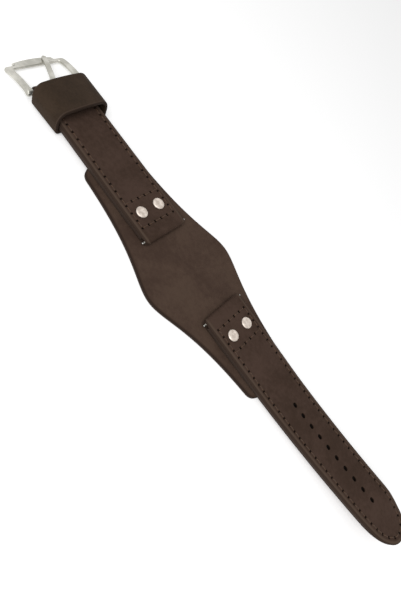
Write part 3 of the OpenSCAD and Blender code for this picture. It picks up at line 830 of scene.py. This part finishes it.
def makeRivets():
    pairs = (("tailStrapRivets", "tail_strap_rivets"), ("buckleStrapRivets", "buckle_strap_rivets"))
    for name, node in pairs:
        bm = bmesh.new()
        for spot in rivetSpots(node):
            latheRivet(bm, spot, strapZ + 2 * lugFold)
        bmesh.ops.remove_doubles(bm, verts=bm.verts, dist=0.001)
        finishPiece(name, bm, metals["rivetNickel"], "band", [node])


makeRivets()
print("rivets set")


# Keeper: a strip with rounded edges, wrapped into a loop and butted under the strap

keeper = {"thick": 1.3, "width": 13.8, "half": 12.68, "foot": 2.0, "round": 4.2, "crown": 0.7,
          "skew": 2, "lean": 10, "earRoom": 1.6, "seam": 0.05, "edgeRound": 0.5, "innerRound": 0.25,
          "underStep": 2, "step": 1, "footSteps": 8, "roundSteps": 14}


def keeperPath():  # the outer face as (y, z), from the middle of the underside round to it again
    low, high = boxMm("keeper_loop")
    half, foot, bow = keeper["half"], keeper["foot"], keeper["round"]
    top = high.z - keeper["crown"]
    under = [(y, low.z) for y in evenly(0, half - foot, keeper["underStep"])]
    under += [(half - foot + foot * math.sin(a), low.z + foot - foot * math.cos(a))
              for a in quarterTurn(keeper["footSteps"])[1:]]
    over = [(half, z) for z in evenly(low.z + foot, top - bow, keeper["step"])[1:]]
    over += [(half - bow + bow * math.cos(a), top - bow + bow * math.sin(a))
             for a in quarterTurn(keeper["roundSteps"])[1:]]
    over += [(y, top) for y in evenly(half - bow, 0, keeper["step"])[1:]]
    side = under + [(y, z + keeper["crown"] * (1 - (y / half) ** 2)) for y, z in over]
    return side + [(-y, z) for y, z in reversed(side[1:-1])] + [side[0]]


def makeKeeper():
    path = [Vector(p) for p in keeperPath()]
    lengths = runLengths(path)
    outward = []
    for i, point in enumerate(path):
        before = path[i - 1] if i else path[-2]
        after = path[i + 1] if i + 1 < len(path) else path[1]
        run = (after - before).normalized()
        outward.append(Vector((run.y, -run.x)))
    skew = math.radians(keeper["skew"])
    lean = math.radians(keeper["lean"])
    front = buckleX - keeper["earRoom"] / math.cos(lean)
    centre = front - keeper["width"] / 2 * math.cos(skew) - keeper["half"] * math.sin(skew)

    def place(s, w, n):
        k, share = stretchAt(lengths, s)
        point = path[k - 1].lerp(path[k], share) + outward[k - 1].lerp(outward[k], share).normalized() * n
        along = w + (point.y - buckleBar.z) * math.tan(lean)
        x = along * math.cos(skew) + point.x * math.sin(skew)
        return Vector((-centre - x, point.x * math.cos(skew) - along * math.sin(skew), point.y))

    half = keeper["width"] / 2
    stations = [keeper["seam"]] + lengths[1:-1] + [lengths[-1] - keeper["seam"]]
    outline = [(stations[0], -half), (stations[-1], -half), (stations[-1], half), (stations[0], half)]
    bm = cutBlank(outline, keeper["thick"], keeper["edgeRound"], keeper["innerRound"])
    bend(bm, stations[1:-1], place)
    finishPiece("keeperLeather", bm, leathers["keeper"], "keeper", ["keeper_loop"])


makeKeeper()
print("keeper wrapped")


# Buckle: drawn along +X from the hinge bar, tilted down to the table and mirrored

buckle = {
    "reach": 13.3, "armWidth": 2.8, "thick": 1.5, "outerBar": 2.9, "step": 1.3, "stepIn": 1.9, "bow": 0.8,
    "arch": 0.7, "corner": 1.7, "windowCorner": 1.0, "inner": 10.5, "overTable": 0.05, "barStep": 1.2,
    "ear": 1.4, "earEnd": 0.5, "earBlend": 0.25, "earThin": 0.1,  # the round ear, and its blend into the arm
    "edgeRound": 0.6, "crown": (0.75, 0.1), "underRound": 0.7, "cornerSteps": 8,
    "earCuts": (-1.38, 0.5, 0.12), "blendCuts": (0.7, 2.5, 0.2),  # first, last and step
    "armCut": 3, "armStep": 0.7, "cutBeforeEnd": 0.5,
}
prong = {
    "width": 2.1, "tip": 1.8, "thick": 1.1, "past": 2.3, "arch": 0.7, "skew": 22, "shift": 0.9,
    "shoulder": 0.6, "edgeRound": 0.3, "knuckleSide": 0.45, "knuckleBevel": 0.15, "bore": 0.81,
    "boreClear": 0.1, "sides": 40, "tipSteps": 9,
    "rootCuts": (0.2, 1.0, 0.2), "shaftCut": 1.4, "shaftStep": 0.6, "cutBeforeTip": 0.4,
}
frameTilt = math.asin((buckleBar.z - buckle["thick"] / 2 - buckle["overTable"]) / buckle["reach"])


def buckleSpot(u, y, h):  # along the frame, across it and over it
    x = u * math.cos(frameTilt) + h * math.sin(frameTilt)
    z = -u * math.sin(frameTilt) + h * math.cos(frameTilt)
    return Vector((-(buckleX + x), y, buckleBar.z + z))


def cornerArc(u, y, radius):  # from an arm into a bar, whose sides would meet at u, y
    return [(u - radius + radius * math.sin(a), y - radius + radius * math.cos(a))
            for a in quarterTurn(buckle["cornerSteps"])]


def framePlan():
    width = buckle["inner"] + buckle["armWidth"]
    end = buckle["reach"] + buckle["outerBar"] / 2 - buckle["step"]
    window = buckle["reach"] - buckle["outerBar"] / 2
    barHalf = buckle["inner"] - buckle["stepIn"]
    outer = [(-buckle["ear"], width)] + cornerArc(end, width, buckle["corner"])
    outer += [(end, barHalf + buckle["step"] / 2)]
    outer += [(end + buckle["step"] + buckle["bow"] * (1 - (y / barHalf) ** 2), y)
              for y in evenly(barHalf, 0, buckle["barStep"])]
    inner = [(-buckle["ear"], buckle["inner"])] + cornerArc(window, buckle["inner"], buckle["windowCorner"])
    outside = outer + [(u, -y) for u, y in reversed(outer[:-1])]
    inside = inner + [(u, -y) for u, y in reversed(inner)]
    return outside + inside[::-1]


def frameHalf(u):  # half the thickness, which is round at the ear
    circle = math.sqrt(max(0.0, buckle["ear"] ** 2 - u * u))
    if u < buckle["earEnd"]:
        return max(buckle["earThin"], circle)
    flat = buckle["thick"] / 2
    return (flat + circle + math.hypot(flat - circle, buckle["earBlend"])) / 2


def makeFrame():
    middle = buckle["thick"] / 2
    end = buckle["reach"] + buckle["outerBar"] / 2 + buckle["bow"]
    bm = cutBlank(framePlan(), buckle["thick"], buckle["edgeRound"], buckle["underRound"],
                  crown=buckle["crown"])

    def place(u, y, n):
        share = min(1.0, max(0.0, u / buckle["reach"]))
        line = buckle["arch"] * 4 * share * (1 - share)
        return buckleSpot(u, y, line + (n + middle) * frameHalf(u) / middle)

    armCuts = evenly(buckle["armCut"], end - buckle["cutBeforeEnd"], buckle["armStep"])
    bend(bm, evenly(*buckle["earCuts"]) + evenly(*buckle["blendCuts"]) + armCuts, place)
    finishPiece("buckleFrame", bm, metals["buckleSteel"], "buckle", ["buckle_frame"])


def makeProng():
    thick, tip = prong["thick"], prong["tip"] / 2
    end = buckle["reach"] + prong["past"]
    side = prong["width"] / 2
    root = side + prong["knuckleSide"]
    knuckle = buckleFold
    half = [(0, root), (knuckle, root), (knuckle + prong["shoulder"], side)]
    half += [(end - tip + tip * math.cos(a), tip * math.sin(a))
             for a in reversed(quarterTurn(prong["tipSteps"])[:-1])]
    outline = half + [(u, -y) for u, y in reversed(half[:-1])]
    bm = cutBlank(outline, thick, prong["edgeRound"], prong["edgeRound"])
    rootLevel = knuckle - thick / 2
    restLevel = (buckle["thick"] + thick) / 2 + buckle["overTable"]  # on the outer bar
    skew = math.radians(prong["skew"])
    cover = prong["bore"] + prong["boreClear"]  # the blank's root stays outside the eye's bore

    def place(u, y, n):
        line = rootLevel + (restLevel - rootLevel) * min(u / buckle["reach"], 1)
        line += prong["arch"] * 4 * (u / end) * (1 - u / end)
        h = line + n + thick / 2
        if u < cover:
            h = max(h, math.sqrt(max(0.0, cover ** 2 - u * u)))
        across = u * math.sin(skew) + y * math.cos(skew) - prong["shift"]
        return buckleSpot(u * math.cos(skew) - y * math.sin(skew), across, h)

    shaftCuts = evenly(prong["shaftCut"], end - prong["cutBeforeTip"], prong["shaftStep"])
    bend(bm, evenly(*prong["rootCuts"]) + shaftCuts, place)

    shaft = set(bm.verts)  # in place already; the eye round the hinge bar is spun and placed next
    bore, bevel = prong["bore"], prong["knuckleBevel"]
    section = [(bore, -root), (bore, root), (knuckle - bevel, root), (knuckle, root - bevel),
               (knuckle, bevel - root), (knuckle - bevel, -root)]
    verts = [bm.verts.new((r, y, 0)) for r, y in section]
    edges = [bm.edges.new(pair) for pair in zip(verts, verts[1:] + verts[:1])]
    bmesh.ops.spin(bm, geom=verts + edges, cent=(0, 0, 0), axis=(0, 1, 0), angle=2 * math.pi,
                   steps=prong["sides"], use_merge=True, use_duplicate=False)
    for v in bm.verts:
        if v not in shaft:
            v.co = buckleSpot(v.co.x, v.co.y - prong["shift"], v.co.z)
    finishPiece("buckleProng", bm, metals["buckleSteel"], "prong", ["buckle_prong"])


makeFrame()
makeProng()
print("buckle made")


# CAD pieces that stay as they are get their metal
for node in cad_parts.values():
    if not node.hide_render:
        node.data.materials.clear()
        node.data.materials.append(metals["barSteel"])


# Table, light and backdrop
studio = {"table": 0.9, "tableRough": 0.9, "tableHalf": 1.5, "tableDrop": 0.0001, "lift": 0.37, "sky": 0.47,
          "key": 1.55, "keyPlace": (0.01, -0.32, 0.37), "keySize": 0.4}  # places and sizes in metres


def makeStudio():
    bm = bmesh.new()
    bmesh.ops.create_grid(bm, x_segments=1, y_segments=1, size=studio["tableHalf"])
    bmesh.ops.translate(bm, verts=bm.verts, vec=(0, 0, -studio["tableDrop"]))
    mesh = bpy.data.meshes.new("table")
    bm.to_mesh(mesh)
    bm.free()
    table = bpy.data.objects.new("table", mesh)
    bpy.context.scene.collection.objects.link(table)
    finish = Finish("paleTable", Base_Color=grey(studio["table"]), Roughness=studio["tableRough"],
                    Specular_IOR_Level=0.0, Emission_Strength=studio["lift"])
    mesh.materials.append(finish.wear(Emission_Color=finish.blend(finish.pictured(), grey(0), grey(1))))

    world = bpy.data.worlds.new("studioSky")
    bpy.context.scene.world = world
    sky = Nodes(world, "Background")
    sky.feed(sky.shader, {"Color": sky.blend(sky.pictured(), grey(studio["sky"]), grey(1)), "Strength": 1})

    lamp = bpy.data.lights.new("softbox", "AREA")
    lamp.energy = studio["key"]
    lamp.size = studio["keySize"]
    key = bpy.data.objects.new("softbox", lamp)
    key.location = studio["keyPlace"]
    key.rotation_euler = (-key.location).to_track_quat("-Z", "Y").to_euler()
    bpy.context.scene.collection.objects.link(key)


makeStudio()
bpy.context.scene.view_settings.view_transform = "Standard"
print("studio lit")
